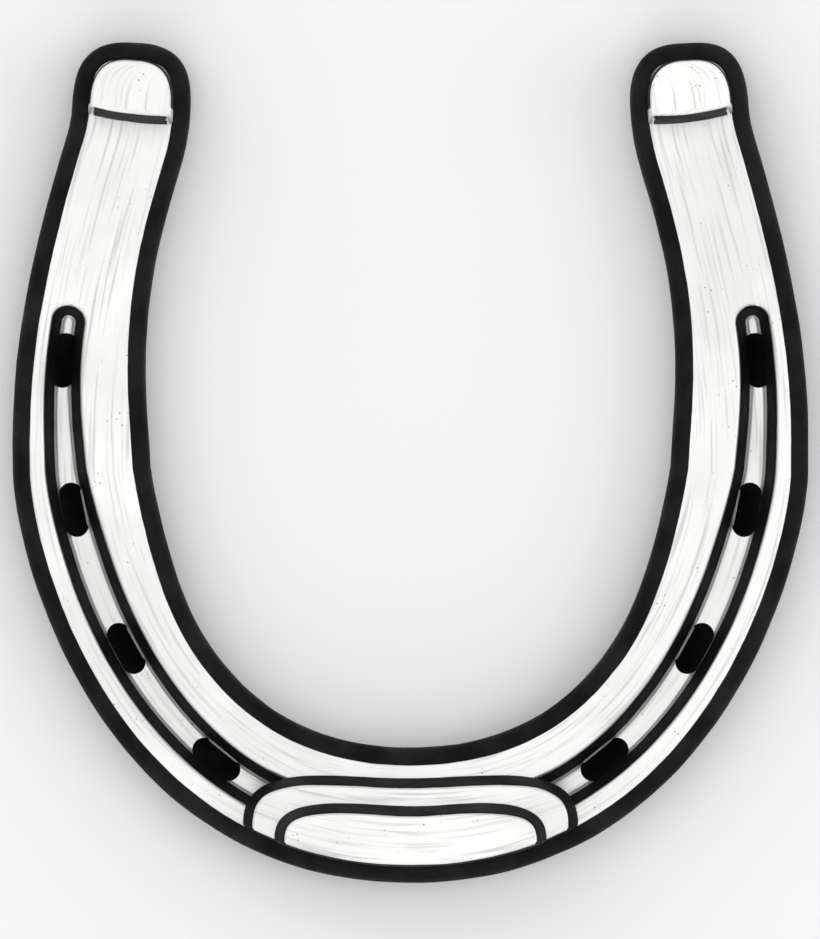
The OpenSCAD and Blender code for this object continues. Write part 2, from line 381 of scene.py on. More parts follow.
def read(mesh, name, width=1):
    layer = mesh.attributes[name]
    values = np.zeros(len(layer.data) * width, np.float32)
    layer.data.foreach_get("vector" if width == 3 else "value", values)
    return values.reshape(-1, width) if width > 1 else values


def rounding(radius, steps):
    """(height below a rounded top edge, how far in) from the wall up to the flat."""
    turn = np.linspace(0, math.pi / 2, steps + 1)
    return np.stack([radius * (1 - np.sin(turn)), radius * (1 - np.cos(turn))], -1)


print("helpers ready")

# %% [markdown]
# ## Step 1: fuller a straight bar
#
# The smith starts with a straight bar and sinks the creases before it is turned. So does
# this cell. The crease could be cut afterwards with a Boolean, but then its lips would be
# razor sharp. As a dip in the lattice, with its columns gathered along the walls, it gets
# the soft lip and floor that a fullering tool leaves.

# %% Where the lattice points go on the straight bar
GROUND_EDGE = 2.6              # radius of the rounded edges on the ground side
HOOF_EDGE = 1.2                # and on the hoof side
STATION_STEP = 0.75            # mm between stations along the bar
# across a crease wall, in mm from its rim, closest where it curves most
WALL_COLUMNS = np.array([-0.55, -0.3, -0.12, 0.06, 0.3, 0.75, 1.2, 1.5, 1.68, 1.9, 2.2])
FLOOR_COLUMN = 0.25            # mm either side of the middle of the crease
OUTER_COLUMNS, INNER_COLUMNS = 5, 13
CREASE_END_STEP = 0.25         # mm between stations where the crease ends,
FINE_BEFORE, FINE_PAST = 3.4, 0.5    # from so far before its end to so far past it
STATION_GAP = 0.2              # no coarse station comes closer than this to a fine one


def bar_stations():
    """Distances along the right half, closer together where the crease ends."""
    coarse = np.linspace(0, HEEL_ALONG, int(HEEL_ALONG / STATION_STEP) + 1)
    fine = np.arange(CREASE_TO - FINE_BEFORE, CREASE_TO + FINE_PAST, CREASE_END_STEP)
    kept = coarse[np.abs(coarse[:, None] - fine[None]).min(1) > STATION_GAP]
    return np.sort(np.r_[kept, fine])


def bar_columns(along):
    """Where one station's columns go, as shares of its width: margin, crease, margin."""
    width = web(along)
    centre = crease_in(along)
    s = abs(along)
    half = crease_half(np.clip(s, STRAIGHT_FROM, STRAIGHT_TO))
    past = max(s - STRAIGHT_TO, STRAIGHT_FROM - s, 0)
    # round the crease's end its half width shrinks like a half circle's, and then opens again
    pinch = math.sqrt(max(half * half - past * past, 0.0)) if past < half else past - half
    half_here = float(np.clip(pinch, half / 4, half))
    gather = half_here / half
    left = centre - half_here + WALL_COLUMNS * gather
    right = centre + half_here - WALL_COLUMNS[::-1] * gather
    crease = np.r_[left, centre - FLOOR_COLUMN * gather, centre + FLOOR_COLUMN * gather, right]
    outer = np.linspace(GROUND_EDGE, crease[0], OUTER_COLUMNS)[:-1]
    inner = np.linspace(crease[-1], width - GROUND_EDGE, INNER_COLUMNS)[1:]
    return (np.r_[outer, crease, inner] - GROUND_EDGE) / (width - 2 * GROUND_EDGE)


half_along = bar_stations()
along = np.r_[-half_along[:0:-1], half_along]
tip_turns = np.radians(np.linspace(4, 87, 20))    # round a heel, just short of its tip
tips = len(tip_turns)
shares = np.array([bar_columns(s) for s in along])
shares = np.vstack([np.repeat(shares[:1], tips, 0), shares, np.repeat(shares[-1:], tips, 0)])
print(len(along) + 2 * tips, "stations and", shares.shape[1], "columns")


# %% Rails: the outer and the inner edge of the turned shoe, point by point
def whole(half):
    """A right-hand rail with its mirror image put in front of it."""
    return np.vstack([half[:0:-1] * (-1, 1), half])


outer_half = np.vstack([edge(half_along), heel_middle + heel_curve(tip_turns)])
inner_half = np.vstack([place(half_along, web(half_along)),
                        heel_middle + heel_curve(math.pi - tip_turns)])
outer_rail, inner_rail = whole(outer_half), whole(inner_half)


def loop_inward(outer, inner):
    """Unit vectors that point into the outline, for the two rails that make its loop."""
    loop = np.vstack([outer, inner[::-1]])
    d = np.roll(loop, -1, 0) - np.roll(loop, 1, 0)
    d /= np.linalg.norm(d, axis=1, keepdims=True)
    turned = np.stack([-d[:, 1], d[:, 0]], -1)
    return turned[:len(outer)], turned[:len(outer) - 1:-1]


outer_in, inner_in = loop_inward(outer_rail, inner_rail)
print("rails have", len(outer_rail), "points each")


# %% Make the straight bar
def wall_levels(height, bottom_radius, top_radius, steps):
    """(height, how far in) up a wall with rounded bottom and top edges."""
    bottom = rounding(bottom_radius, 3)[::-1]
    top = rounding(top_radius, 6)
    middle = np.linspace(bottom_radius, height - top_radius, steps + 2)[1:-1]
    return np.vstack([bottom, np.stack([middle, 0 * middle], -1),
                      np.stack([height - top[:, 0], top[:, 1]], -1)])


def straight_bar():
    levels = wall_levels(BAR_THICKNESS, HOOF_EDGE, GROUND_EDGE, 5)
    columns = shares.shape[1]
    station, column, level, faces = block_skin(len(outer_rail), columns, len(levels))
    share = shares[station, column]
    height, inset = levels[level].T
    on_ground = level == len(levels) - 1
    chord = np.linalg.norm(outer_rail - inner_rail, axis=1)
    flat = arc_lengths((outer_rail + inner_rail) / 2)
    flat -= flat.mean()
    station_along = np.r_[np.full(tips, along[0]), along, np.full(tips, along[-1])]
    across = inset + share * (chord[station] - 2 * inset)
    inside = inside_crease(station_along[station], across)
    height = np.where(on_ground, height - crease_drop(inside), height)
    straight = np.stack([flat[station], across, height], -1) * MM
    bar = make_mesh("straight_bar", straight, faces)
    write(bar.data, "station", "INT", station.astype(np.int32))
    write(bar.data, "share", "FLOAT", share)
    write(bar.data, "inset", "FLOAT", inset * MM)
    write(bar.data, "bar_place", "FLOAT_VECTOR", straight)
    write(bar.data, "inside", "FLOAT", np.where(on_ground, inside, -1.0))
    write(bar.data, "ground", "FLOAT", on_ground.astype(float))
    return bar


bar = straight_bar()
print("straight bar:", len(bar.data.polygons), "faces,", round(bar.dimensions.x / MM), "mm long")

# %% [markdown]
# ## Step 2: turn the bar
#
# Bending over the horn of the anvil is one rule for every point: find its station on the
# two rails and slide across between them by its share of the width. Geometry Nodes do
# that well, because the rule stays open to change: swap the rails and the same bar turns
# into another shoe. A Curve modifier would bend it too, but it can't change the width.


# %% Node trees: start one, close one, run one; and keep what a modifier made
def new_tree(name, inputs):
    tree = bpy.data.node_groups.new(name, "GeometryNodeTree")
    tree.interface.new_socket("Geometry", in_out="INPUT", socket_type="NodeSocketGeometry")
    tree.interface.new_socket("Geometry", in_out="OUTPUT", socket_type="NodeSocketGeometry")
    for label, kind, value in inputs:
        socket = tree.interface.new_socket(label, in_out="INPUT", socket_type="NodeSocket" + kind)
        if value is not None:
            socket.default_value = value
    return tree, add(tree, "NodeGroupInput").outputs


def close_tree(tree, geometry, material):
    real = add(tree, "GeometryNodeRealizeInstances", {"Geometry": geometry})
    finished = add(tree, "GeometryNodeSetMaterial", {"Geometry": real.outputs[0], "Material": material})
    add(tree, "NodeGroupOutput", {"Geometry": finished.outputs[0]})


def bake(piece, modifier):
    """Makes what a modifier does part of the mesh."""
    bpy.context.view_layer.update()
    seen = piece.evaluated_get(bpy.context.evaluated_depsgraph_get())
    mesh = bpy.data.meshes.new_from_object(seen)
    piece.modifiers.remove(modifier)
    piece.data = mesh
    return mesh


def run_tree(piece, tree, values):
    """Runs a tree on a piece with named inputs, and keeps the plain mesh that comes out."""
    modifier = piece.modifiers.new(tree.name, "NODES")
    modifier.node_group = tree
    for item in tree.interface.items_tree:
        if item.item_type == "SOCKET" and item.in_out == "INPUT" and item.name in values:
            modifier[item.identifier] = values[item.name]
    bake(piece, modifier).shade_smooth()
    return piece


print("helpers for node trees ready")


# %% The node tree that turns the bar
def rail_object(name, points, inward_at):
    """A rail as loose points that carry the way inwards, for a node tree to read."""
    rail = make_mesh(name, np.c_[points * MM, np.zeros(len(points))], np.zeros((0, 4), int))
    write(rail.data, "inward", "FLOAT_VECTOR", np.c_[inward_at, np.zeros(len(points))])
    return rail


def rail_point(tree, rail, station, inset):
    """Where a rail is at a station, moved into the outline by the inset."""
    info = add(tree, "GeometryNodeObjectInfo", {"transform_space": "ORIGINAL", "Object": rail})
    position = add(tree, "GeometryNodeInputPosition")
    inward_at = add(tree, "GeometryNodeInputNamedAttribute", {
        "data_type": "FLOAT_VECTOR", "Name": "inward"})
    spot, way = (add(tree, "GeometryNodeSampleIndex", {
        "data_type": "FLOAT_VECTOR", "Geometry": info.outputs["Geometry"], "Value": value.outputs[0],
        "Index": station}).outputs[0] for value in (position, inward_at))
    step = add(tree, "ShaderNodeVectorMath", {"operation": "SCALE", 0: way, "Scale": inset})
    return add(tree, "ShaderNodeVectorMath", {"operation": "ADD", 0: spot, 1: step.outputs[0]}).outputs[0]


def turning_tree():
    tree, given = new_tree("turn_the_bar", [
        ("Outer rail", "Object", None), ("Inner rail", "Object", None), ("Shift", "Vector", None),
        ("Steel", "Material", None)])
    station, share, inset = (add(tree, "GeometryNodeInputNamedAttribute", {
        "data_type": kind, "Name": name}).outputs["Attribute"]
        for kind, name in (("INT", "station"), ("FLOAT", "share"), ("FLOAT", "inset")))
    outer = rail_point(tree, given["Outer rail"], station, inset)
    inner = rail_point(tree, given["Inner rail"], station, inset)
    across = add(tree, "ShaderNodeMix", {"data_type": "VECTOR", 0: share, 4: outer, 5: inner}).outputs[1]
    height = add(tree, "ShaderNodeSeparateXYZ", {0: add(tree, "GeometryNodeInputPosition").outputs[0]})
    lifted = add(tree, "ShaderNodeCombineXYZ", {"Z": height.outputs["Z"]})
    turned = add(tree, "ShaderNodeVectorMath", {"operation": "ADD", 0: across, 1: lifted.outputs[0]})
    moved = add(tree, "ShaderNodeVectorMath", {
        "operation": "ADD", 0: turned.outputs[0], 1: given["Shift"]})
    bent = add(tree, "GeometryNodeSetPosition", {
        "Geometry": given["Geometry"], "Position": moved.outputs[0]})
    close_tree(tree, bent.outputs[0], given["Steel"])
    return tree


turning = turning_tree()
print("turning tree:", len(turning.nodes), "nodes")

# %% [markdown]
# ## Step 3: the finish
#
# Hot-forged mild steel comes off the anvil under a skin of black iron oxide, the scale.
# It is matt, slightly lumpy and almost black. Grinding takes it off every face that looks
# at the ground and leaves bright steel with fine scratches along the bar. The line between
# the two wanders a little, because the wheel rides over the forged surface. One material
# holds both: a stored distance says how far a point lies inside the ground area.

# %% Forged steel with ground faces
SCRATCH_LENGTH = 16 * MM
SCRATCH_SPACING = 0.55 * MM    # real ones are half as wide, too fine to show
SCALE_LUMP = 1.6 * MM
PIT_SPACING = 0.9 * MM
SCALE_PATCH = 7 * MM
PIT_PATCH = 5 * MM
BRIGHT_CLOUD = 18 * MM
RIM_WOBBLE = 4 * MM
RIM_WANDER = 0.1               # mm either way
BUMP_HEIGHT = 0.25 * MM
SCALE_GLOSS = 0.15             # oxide drinks light and mirrors less than varnish
SCALE_DARK, SCALE_PALE = "#040506", "#161617"
SCRATCH_GREY, PIT_GREY = "#cfcfcd", "#6b6b6a"
SATIN = 0.36, 0.5              # roughness of ground steel, between scratches and in them
MATT = 0.85, 0.5               # roughness of the scale, from its dark patches to its pale ones
GROOVES = 0.5, 0.6             # height of the scratches, where the lumps of the scale go 0 to 1
PIT_EDGE = 0.05, 0.22          # distance from a pit's middle, in pit spacings
LINE_EDGE = -0.06, 0.06        # mm either side of the line between ground steel and scale
# the noise values at which pits, clouds, pale scale and scratches begin and are full
PITTED, CLOUDED, FLECKED, SCORED = (0.56, 0.66), (0.35, 0.65), (0.36, 0.68), (0.5, 0.72)
# a Map Range's sockets 1 and 2 are where it starts and ends, 3 and 4 what it gives there
SMOOTH = {"interpolation_type": "SMOOTHSTEP"}


def forged_steel(name, bright_low, bright_high):
    material = bpy.data.materials.new(name)
    material.use_nodes = True
    tree = material.node_tree
    shader = tree.nodes["Principled BSDF"]
    where = add(tree, "ShaderNodeTexCoord").outputs["Object"]
    bar_at = add(tree, "ShaderNodeAttribute", {"attribute_name": "bar_place"}).outputs["Vector"]
    depth = add(tree, "ShaderNodeAttribute", {"attribute_name": "bright"}).outputs["Fac"]

    # patterns, each of a real size; scratches are noise drawn out along the bar
    wobble, lumps, mottle, patch, cloud = (
        add(tree, "ShaderNodeTexNoise", {"Vector": where, "Scale": 1 / size, "Detail": detail}).outputs[0]
        for size, detail in ((RIM_WOBBLE, 3.0), (SCALE_LUMP, 4.0), (SCALE_PATCH, 3.0), (PIT_PATCH, 2.0),
                             (BRIGHT_CLOUD, 2.0)))
    drawn_out = add(tree, "ShaderNodeVectorMath", {
        "operation": "MULTIPLY", 0: bar_at,
        1: (1 / SCRATCH_LENGTH, 1 / SCRATCH_SPACING, 1 / SCRATCH_SPACING)})
    scratch = add(tree, "ShaderNodeTexNoise", {
        "Vector": drawn_out.outputs[0], "Scale": 1.0, "Detail": 3.0}).outputs[0]
    pit_at = add(tree, "ShaderNodeTexVoronoi", {
        "Vector": where, "Scale": 1 / PIT_SPACING}).outputs["Distance"]
    off_pit, pitted, cloudy, flecked, scored = (
        add(tree, "ShaderNodeMapRange", {**SMOOTH, "Value": value, 1: first, 2: full}).outputs[0]
        for value, (first, full) in ((pit_at, PIT_EDGE), (patch, PITTED), (cloud, CLOUDED),
                                     (mottle, FLECKED), (scratch, SCORED)))
    in_pit = add(tree, "ShaderNodeMath", {"operation": "SUBTRACT", 0: 1.0, 1: off_pit}).outputs[0]
    speck = add(tree, "ShaderNodeMath", {"operation": "MULTIPLY", 0: in_pit, 1: pitted}).outputs[0]

    # the line between ground and forged
    wander = add(tree, "ShaderNodeMath", {
        "operation": "MULTIPLY_ADD", 0: wobble, 1: 2 * RIM_WANDER, 2: -RIM_WANDER}).outputs[0]
    line = add(tree, "ShaderNodeMath", {"operation": "ADD", 0: depth, 1: wander}).outputs[0]
    ground = add(tree, "ShaderNodeMapRange", {
        **SMOOTH, "Value": line, 1: LINE_EDGE[0], 2: LINE_EDGE[1]}).outputs[0]

    # colour, and metal only where it is ground
    blend = {"data_type": "RGBA"}
    bright = add(tree, "ShaderNodeMix", {**blend, 0: cloudy, 6: bright_low, 7: bright_high}).outputs[2]
    brushed = add(tree, "ShaderNodeMix", {**blend, 0: scored, 6: bright, 7: SCRATCH_GREY}).outputs[2]
    dotted = add(tree, "ShaderNodeMix", {**blend, 0: speck, 6: brushed, 7: PIT_GREY}).outputs[2]
    scale = add(tree, "ShaderNodeMix", {**blend, 0: flecked, 6: SCALE_DARK, 7: SCALE_PALE}).outputs[2]
    skin = add(tree, "ShaderNodeMix", {**blend, 0: ground, 6: scale, 7: dotted}).outputs[2]
    tree.links.new(skin, shader.inputs["Base Color"])
    tree.links.new(ground, shader.inputs["Metallic"])
    shader.inputs["Specular IOR Level"].default_value = SCALE_GLOSS

    # satin where it is ground, nearly matt where the scale is left; scratches a tenth as deep
    # as the lumps of the scale
    satin, matt, grooves = (
        add(tree, "ShaderNodeMapRange", {"Value": noise, 3: first, 4: full}).outputs[0]
        for noise, (first, full) in ((scratch, SATIN), (mottle, MATT), (scratch, GROOVES)))
    roughness = add(tree, "ShaderNodeMix", {0: ground, 2: matt, 3: satin}).outputs[0]
    tree.links.new(roughness, shader.inputs["Roughness"])
    height = add(tree, "ShaderNodeMix", {0: ground, 2: lumps, 3: grooves}).outputs[0]
    bump = add(tree, "ShaderNodeBump", {"Strength": 0.8, "Distance": BUMP_HEIGHT, "Height": height})
    tree.links.new(bump.outputs[0], shader.inputs["Normal"])
    return material


# one bright steel, a touch paler where it is newer or harder: the bar is mild steel and
# wears first, the plate is a fresh piece of it, and grab and calks are tool steel
steel = {"shoe_steel": forged_steel("forged_mild_steel_shoe", "#e3e3e1", "#eeeeec"),
         "plate_steel": forged_steel("forged_mild_steel_plate", "#e5e5e3", "#f0f0ee"),
         "calk_steel": forged_steel("forged_tool_steel_calk", "#e8e8e6", "#f2f2f0")}
print(len(steel), "steels made")

# %% Turn the bar, and say for every point how far it lies inside the bright area
PLAN_SHIFT = Vector((0, shoe_low.y, shoe_low.z))
RIM = 3.0                      # mm in from the outline, where the ground face starts
BLACK_PAST_RIM = 0.02          # mm of a crease wall's black beyond its rim
BRIGHT_BEFORE_FOOT = 0.12      # mm of bright steel on the foot of a crease wall


def points_of(mesh):
    """Every point of a mesh, as rows of x, y and z."""
    points = np.zeros(len(mesh.vertices) * 3, np.float32)
    mesh.vertices.foreach_get("co", points)
    return points.reshape(-1, 3)


def distance_to_loop(points, loop, step=0.04):
    """Distance in mm, in plan, from each point to a closed outline given in plan mm."""
    closed = np.vstack([loop, loop[:1]])
    run = arc_lengths(closed)
    dense = on_line(np.arange(0, run[-1], step), run, closed)
    tree = KDTree(len(dense))
    for index, (x, y) in enumerate(dense):
        tree.insert((x, y, 0), index)
    tree.balance()
    return np.array([tree.find((x, y, 0))[2] for x, y in points])


rails = [rail_object("outer_rail", outer_rail, outer_in), rail_object("inner_rail", inner_rail, inner_in)]
shoe = run_tree(bar, turning, {"Outer rail": rails[0], "Inner rail": rails[1],
                               "Shift": PLAN_SHIFT, "Steel": steel["shoe_steel"]})
shoe.name = "shoe"


def mark_bright_shoe():
    """Bright between the rim and the crease, and again on the crease floor."""
    mesh = shoe.data
    ground = read(mesh, "ground") > 0.5
    inside = read(mesh, "inside")
    points = (points_of(mesh)[:, :2] - PLAN_SHIFT.xy) / MM
    rim = np.full(len(points), -1.0)
    loop = np.vstack([outer_rail, inner_rail[::-1]])
    rim[ground] = distance_to_loop(points[ground], loop) - RIM
    crease = np.maximum(-inside - BLACK_PAST_RIM, inside - CREASE_LEAN + BRIGHT_BEFORE_FOOT)
    write(mesh, "bright", "FLOAT", np.where(ground, np.minimum(rim, crease), -1.0))


mark_bright_shoe()
for rail in rails:
    bpy.data.objects.remove(rail)
print("turned shoe:", [round(v / MM, 2) for v in shoe.dimensions], "mm")

# %% [markdown]
# ## Step 4: hammer marks
#
# No forged face is truly flat. A slow, shallow waviness goes over the walls, and a tenth of
# it over the ground faces, which the wheel has levelled. A Displace modifier could do it,
# but a node tree can also read which faces are ground. It only ever takes metal away, so
# the shoe never grows past its size.


# %% The node tree that dents a surface
MARK_DEPTH = 0.25 * MM
MARK_SIZE = 7 * MM
LEFT_BY_WHEEL = 0.1


def dent_tree():
    tree, given = new_tree("hammer_marks", [
        ("Depth", "Float", MARK_DEPTH), ("Mark size", "Float", MARK_SIZE), ("Seed", "Float", 0.0),
        ("Left on ground faces", "Float", LEFT_BY_WHEEL), ("Steel", "Material", None)])
    place_at = add(tree, "GeometryNodeInputPosition").outputs[0]
    shrink = add(tree, "ShaderNodeMath", {"operation": "DIVIDE", 0: 1.0, 1: given["Mark size"]})
    marks = add(tree, "ShaderNodeTexNoise", {
        "noise_dimensions": "4D", "Detail": 1.0, "Vector": place_at, "W": given["Seed"],
        "Scale": shrink.outputs[0]})
    on_ground = add(tree, "GeometryNodeInputNamedAttribute", {"data_type": "FLOAT", "Name": "ground"})
    kept = add(tree, "ShaderNodeMapRange", {
        "Value": on_ground.outputs["Attribute"], 3: 1.0, 4: given["Left on ground faces"]})
    deep = add(tree, "ShaderNodeMath", {"operation": "MULTIPLY", 0: marks.outputs[0], 1: given["Depth"]})
    depth = add(tree, "ShaderNodeMath", {"operation": "MULTIPLY", 0: deep.outputs[0], 1: kept.outputs[0]})
    back = add(tree, "ShaderNodeMath", {"operation": "MULTIPLY", 0: depth.outputs[0], 1: -1.0})
    outwards = add(tree, "GeometryNodeInputNormal").outputs[0]
    step = add(tree, "ShaderNodeVectorMath", {
        "operation": "SCALE", 0: outwards, "Scale": back.outputs[0]})
    dented = add(tree, "GeometryNodeSetPosition", {
        "Geometry": given["Geometry"], "Offset": step.outputs[0]})
    close_tree(tree, dented.outputs[0], given["Steel"])
    return tree


dents = dent_tree()


def hammer(piece, slot, seed):
    """Dents a piece; each one has its own seed, so no two carry the same marks."""
    return run_tree(piece, dents, {"Depth": MARK_DEPTH, "Mark size": MARK_SIZE, "Seed": seed,
                                   "Left on ground faces": LEFT_BY_WHEEL, "Steel": steel[slot]})


hammer(shoe, "shoe_steel", 1.0)
print("hammered:", len(shoe.data.polygons), "faces")

# %% [markdown]
# ## Step 5: punch the nail holes
#
# A pritchel punch goes through the floor of the crease at a steady pitch. The punch is one
# small tapered solid with round ends. Geometry Nodes set a copy at each mark, turned to
# face across the bar, and one Boolean takes them all out of the shoe with the four round
# holes for the shanks.

# %% The punch
HOLE_LENGTH, HOLE_WIDTH, HOLE_TAPER, HOLE_LEAN = 9.0, 3.9, 2.0, 2.6
CREASE_FLOOR = BAR_THICKNESS - CREASE_DEPTH
SHANK_R, SHANK_GAP, SHANK_IN_HEAD = 3.5, 0.05, 0.5
OVERSHOOT = 1.0


def corner_values(mesh, bright=None):
    """Moves the finish values from points to face corners, where a Boolean keeps them apart."""
    corners = np.zeros(len(mesh.loops), np.int32)
    mesh.loops.foreach_get("vertex_index", corners)
    at = read(mesh, "bar_place", 3) if "bar_place" in mesh.attributes else points_of(mesh)
    shade = read(mesh, "bright") if bright is None else np.full(len(at), bright)
    for name in ("station", "share", "inset", "inside", "ground", "bar_place", "bright"):
        if name in mesh.attributes:
            mesh.attributes.remove(mesh.attributes[name])
    write(mesh, "bar_place", "FLOAT_VECTOR", at[corners], "CORNER")
    write(mesh, "bright", "FLOAT", shade[corners].astype(np.float32), "CORNER")


def ring_solid(name, rings):
    """A closed solid through rings of points, one above the other, with flat ends."""
    points = np.vstack(rings)
    number = np.arange(len(points)).reshape(len(rings), -1)
    beside = np.roll(number, -1, axis=1)
    walls = np.stack([number[:-1], beside[:-1], beside[1:], number[1:]], -1).reshape(-1, 4)
    faces = [number[0, ::-1].tolist(), number[-1].tolist(), *walls.tolist()]
    mesh = bpy.data.meshes.new(name)
    mesh.from_pydata(points.tolist(), [], faces)
    return new_object(name, mesh)


def slot_ring(z, steps=12):
    """The outline at a height: straight above the crease floor, tapering and leaning below."""
    down = max(0.0, CREASE_FLOOR - z) / CREASE_FLOOR
    r = (HOLE_WIDTH - down * HOLE_TAPER) / 2
    turn = np.linspace(-math.pi / 2, math.pi / 2, steps + 1)
    right = np.stack([(HOLE_LENGTH - HOLE_WIDTH) / 2 + r * np.cos(turn), r * np.sin(turn)], -1)
    ring = np.vstack([right, -right]) + (0, down * HOLE_LEAN)
    return np.c_[ring, np.full(len(ring), z)] * MM


def punch():
    """The tool, a little longer than the hole at both ends so that it cuts clean through."""
    heights = np.r_[np.linspace(-OVERSHOOT, CREASE_FLOOR, 7), CREASE_FLOOR + OVERSHOOT]
    return ring_solid("punch", [slot_ring(z) for z in heights])


def round_pin(name, centre, radius, low, high, sides=72):
    """A round rod standing at a place, for shanks and the holes that take them."""
    turn = np.arange(sides) * 2 * math.pi / sides
    ring = np.stack([centre[0] + radius * np.cos(turn), centre[1] + radius * np.sin(turn)], -1)
    return ring_solid(name, [np.c_[ring, np.full(sides, z)] * MM for z in (low, high)])


print("the punch is", HOLE_LENGTH, "by", HOLE_WIDTH, "mm at the crease floor")


# %% The node tree that sets the punches out
def punching_tree():
    tree, given = new_tree("set_out_punches", [("Punch", "Object", None), ("Steel", "Material", None)])
    tool = add(tree, "GeometryNodeObjectInfo", {"transform_space": "ORIGINAL", "Object": given["Punch"]})
    inward_at = add(tree, "GeometryNodeInputNamedAttribute", {
        "data_type": "FLOAT_VECTOR", "Name": "inward"})
    facing = add(tree, "FunctionNodeAlignRotationToVector", {
        "axis": "Y", "pivot_axis": "Z", "Vector": inward_at.outputs["Attribute"]})
    dots = add(tree, "GeometryNodeMeshToPoints", {"Mesh": given["Geometry"]})
    copies = add(tree, "GeometryNodeInstanceOnPoints", {
        "Points": dots.outputs[0], "Instance": tool.outputs["Geometry"], "Rotation": facing.outputs[0]})
    close_tree(tree, copies.outputs[0], given["Steel"])
    return tree


nail_marks = NAIL_FIRST + NAIL_PITCH * np.arange(NAILS)
nail_marks = np.r_[-nail_marks[::-1], nail_marks]
marks = rail_object("nail_marks", place(nail_marks, crease_in(nail_marks)), inward(nail_marks))
marks.data.transform(Matrix.Translation(PLAN_SHIFT))
one_punch = punch()
punches = run_tree(marks, punching_tree(), {"Punch": one_punch, "Steel": steel["shoe_steel"]})
bpy.data.objects.remove(one_punch)
print(len(nail_marks), "punches set out")


# %% Booleans
SHARP_FROM = math.radians(38)


def boolean(piece, tool, operation):
    """Cuts the tool out of a piece, or joins it on, and then throws the tool away."""
    modifier = piece.modifiers.new(operation, "BOOLEAN")
    modifier.operation = operation
    modifier.solver = "MANIFOLD"
    modifier.object = tool
    bake(piece, modifier).set_sharp_from_angle(angle=SHARP_FROM)
    bpy.data.objects.remove(tool)


def joined(name, objects):
    """One tool out of several that don't touch. The faces it leaves on a piece are black."""
    points, faces = [], []
    for thing in objects:
        faces += [[len(points) + i for i in p.vertices] for p in thing.data.polygons]
        points += [tuple(v.co) for v in thing.data.vertices]
        bpy.data.objects.remove(thing)
    mesh = bpy.data.meshes.new(name)
    mesh.from_pydata(points, [], faces)
    mesh.materials.append(steel["shoe_steel"])
    corner_values(mesh, bright=-1.0)
    return new_object(name, mesh)


print("edges stay sharp from", round(math.degrees(SHARP_FROM)), "degrees")


# %% Where the shanks go, and all the holes in the shoe
PAD_IN = GROUND_EDGE + 0.1     # from the shoe's outline to the foot of a pad
CALK_LENGTH = 10.2
TOE_SHANK = 12.5, 8.659        # to each side of the middle, and back from the toe's edge
ALL_THROUGH = -2, 40           # from below the shoe to above everything
calk_back = HEEL_ROUND - PAD_IN
calk_middle = heel_middle + (calk_back - CALK_LENGTH / 2) * heel_v
mid_y = -shoe_low.y / MM
toe_shanks = [(side * TOE_SHANK[0], TOE_SHANK[1] - mid_y) for side in (-1, 1)]
calk_shanks = [(side * calk_middle[0], calk_middle[1] - mid_y) for side in (-1, 1)]


def shank_holes(centres):
    return [round_pin("bore", c, SHANK_R + SHANK_GAP, *ALL_THROUGH) for c in centres]


def shanks(centres, into):
    """Pins from the hoof face up into a head that starts at a height."""
    return [round_pin("shank", c, SHANK_R, 0, into + SHANK_IN_HEAD) for c in centres]


corner_values(shoe.data)
boolean(shoe, joined("holes", [punches, *shank_holes(toe_shanks + calk_shanks)]), "DIFFERENCE")
print("punched shoe:", len(shoe.data.polygons), "faces", [a.name for a in shoe.data.attributes])

# %% [markdown]
# ## Step 6: the toe piece
#
# Two pads sit on the toe, one on the other. Each follows the toe's own edge in front, runs
# nearly straight with a slight dip behind, and has back walls that lean in. A box could be
# cut to that outline and bevelled, but a bevel won't follow a wall that leans. So each is
# the same block of lattice points as the bar, between two rails at its foot and two at its
# top.


# %% Pads
PAD_BATTER = 0.3               # how much further in the front edge is at the top
TOE_LEAN = 1.7                 # and the back and the sides
TOE_DIP = 0.5
CORNER_PULL = 0.7
FRONT_STEP = 0.25              # the front ends at a whole number of these along the toe
END_GAP, END_RISE = 0.3, 0.6   # the short end wall between the front and the side


def pad_end(side, inset):
    """How far along the toe's edge a pad's front goes before it meets the pad's side."""
    s = np.arange(0, side * 1.3, FRONT_STEP)
    return s[place(s, np.full(len(s), inset))[:, 0] < side - END_GAP].max()


def toe_rails(reach, back, corner, inset, lean, count=90):
    """The front and the back edge of a toe pad at one height."""
    side, deep, start = reach - lean, back - lean, reach - corner
    last = pad_end(side, inset)
    low = place(last, inset)[1] + END_RISE
    front = place(np.linspace(0, last, count), np.full(count, inset))
    x = np.linspace(0, start, 40)
    straight = np.stack([x, deep - ease(TOE_DIP, 0, x / start)], -1)
    round_corner = bezier((start, deep), (start + CORNER_PULL * corner, deep),
                          (side, low + CORNER_PULL * (deep - low)), (side, low), 60)
    behind = np.vstack([straight[:-1], round_corner])
    run = arc_lengths(behind)
    return whole(front), whole(on_line(np.linspace(0, run[-1], count), run, behind))


print("the plate's front edge is", round(2 * pad_end(plate_high.x / MM, PAD_IN), 1), "mm long")


# %% A pad between two pairs of rails
SINK = 0.12                    # how deep a pad's foot sits in the piece below
GROUND_FROM = 0.16             # how far in from a pad's edge the bright ground face starts
SOFT_EDGE, FOOT_GROOVE = 0.45, 0.35


